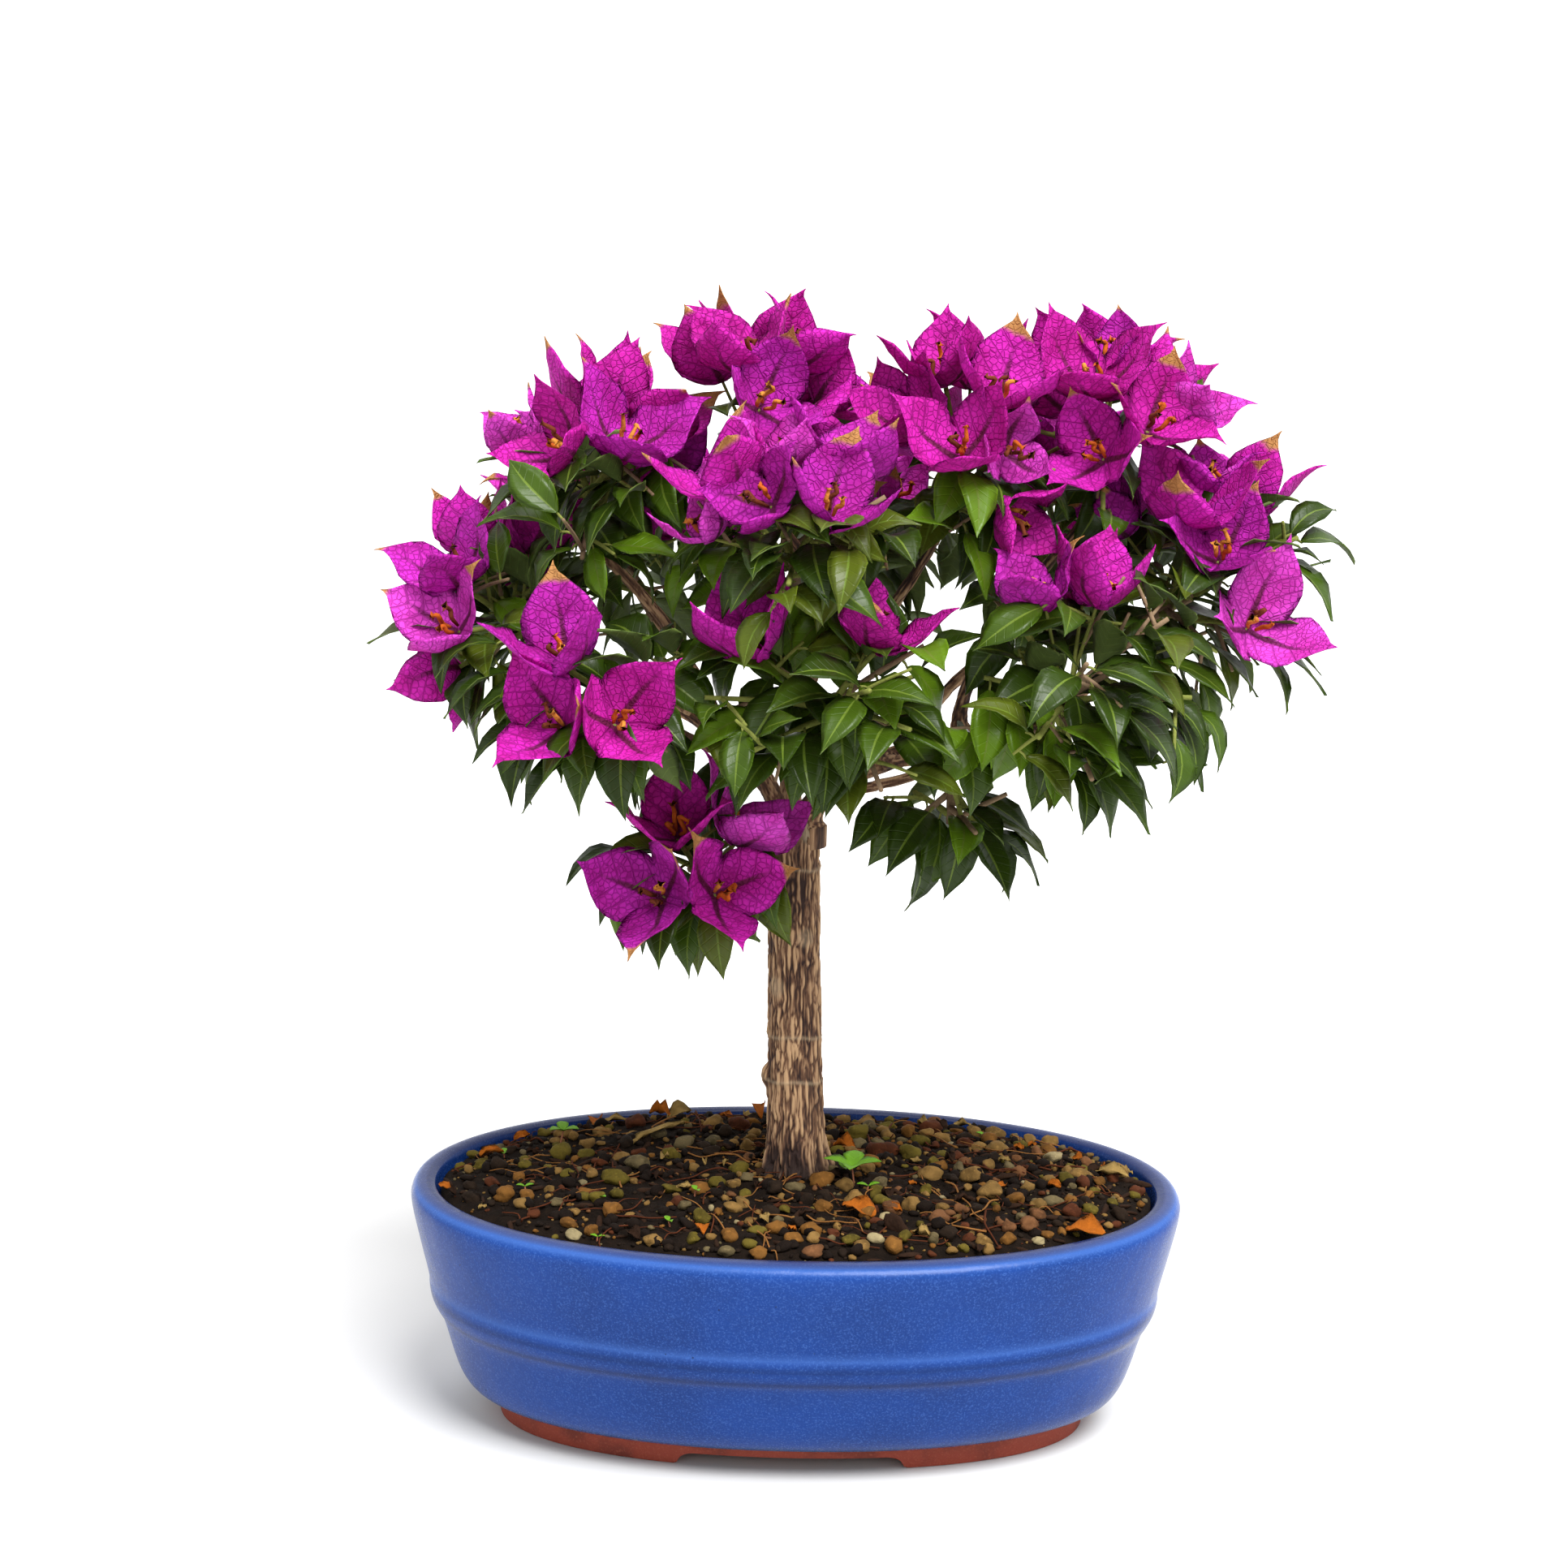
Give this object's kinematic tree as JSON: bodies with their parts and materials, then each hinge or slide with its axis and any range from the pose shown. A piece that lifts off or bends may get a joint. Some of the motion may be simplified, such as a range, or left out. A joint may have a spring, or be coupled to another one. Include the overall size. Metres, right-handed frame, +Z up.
{
  "type": "potted bougainvillea bonsai",
  "caption": "Small bougainvillea trained as a bonsai: a straight trunk under a broad crown of magenta bracts and drooping green leaves, in an oval blue glazed pot.",
  "frame": {"origin": "on the ground, under the middle of the whole outline seen from above", "axes": "+Z up, +X to the right along the pot's long side as the picture shows it, +Y away from the viewer"},
  "size_m": [0.3134, 0.224, 0.3762],
  "materials": {
    "glaze": "glossy cobalt blue glaze, thin and mottled at its lower edge",
    "terracotta": "unglazed red clay, matt",
    "soil": "damp dark soil with pebbles and bark bits",
    "bark": "grey-brown bark with fissured ridges",
    "foliage": "magenta bracts and dark green leaves, satin"
  },
  "bodies": {
    "root": {"pot_bowl": "glaze", "pot_foot": "terracotta", "soil": "soil", "trunk": "bark", "bough_right": "bark", "bough_centre": "bark", "bough_left": "bark", "bough_far_right": "bark", "bough_right_top": "bark", "bough_right_front": "bark", "bough_back_right": "bark", "bough_under_right": "bark", "bough_left_crest": "bark", "bough_right_crest": "bark", "bough_front_top": "bark", "bough_front": "bark", "bough_back": "bark", "bough_far_left": "bark", "bough_left_top": "bark", "bough_left_front": "bark", "bough_back_left": "bark", "foliage_far_right": "foliage", "foliage_right_top": "foliage", "foliage_right_crest": "foliage", "foliage_left_crest": "foliage", "foliage_front_top": "foliage", "foliage_left_top": "foliage", "foliage_far_left": "foliage", "foliage_left_front": "foliage", "foliage_front": "foliage", "foliage_right_front": "foliage", "foliage_under_right": "foliage", "foliage_back_right": "foliage", "foliage_back": "foliage", "foliage_back_left": "foliage", "foliage_low_left": "foliage"}
  },
  "joints": []
}
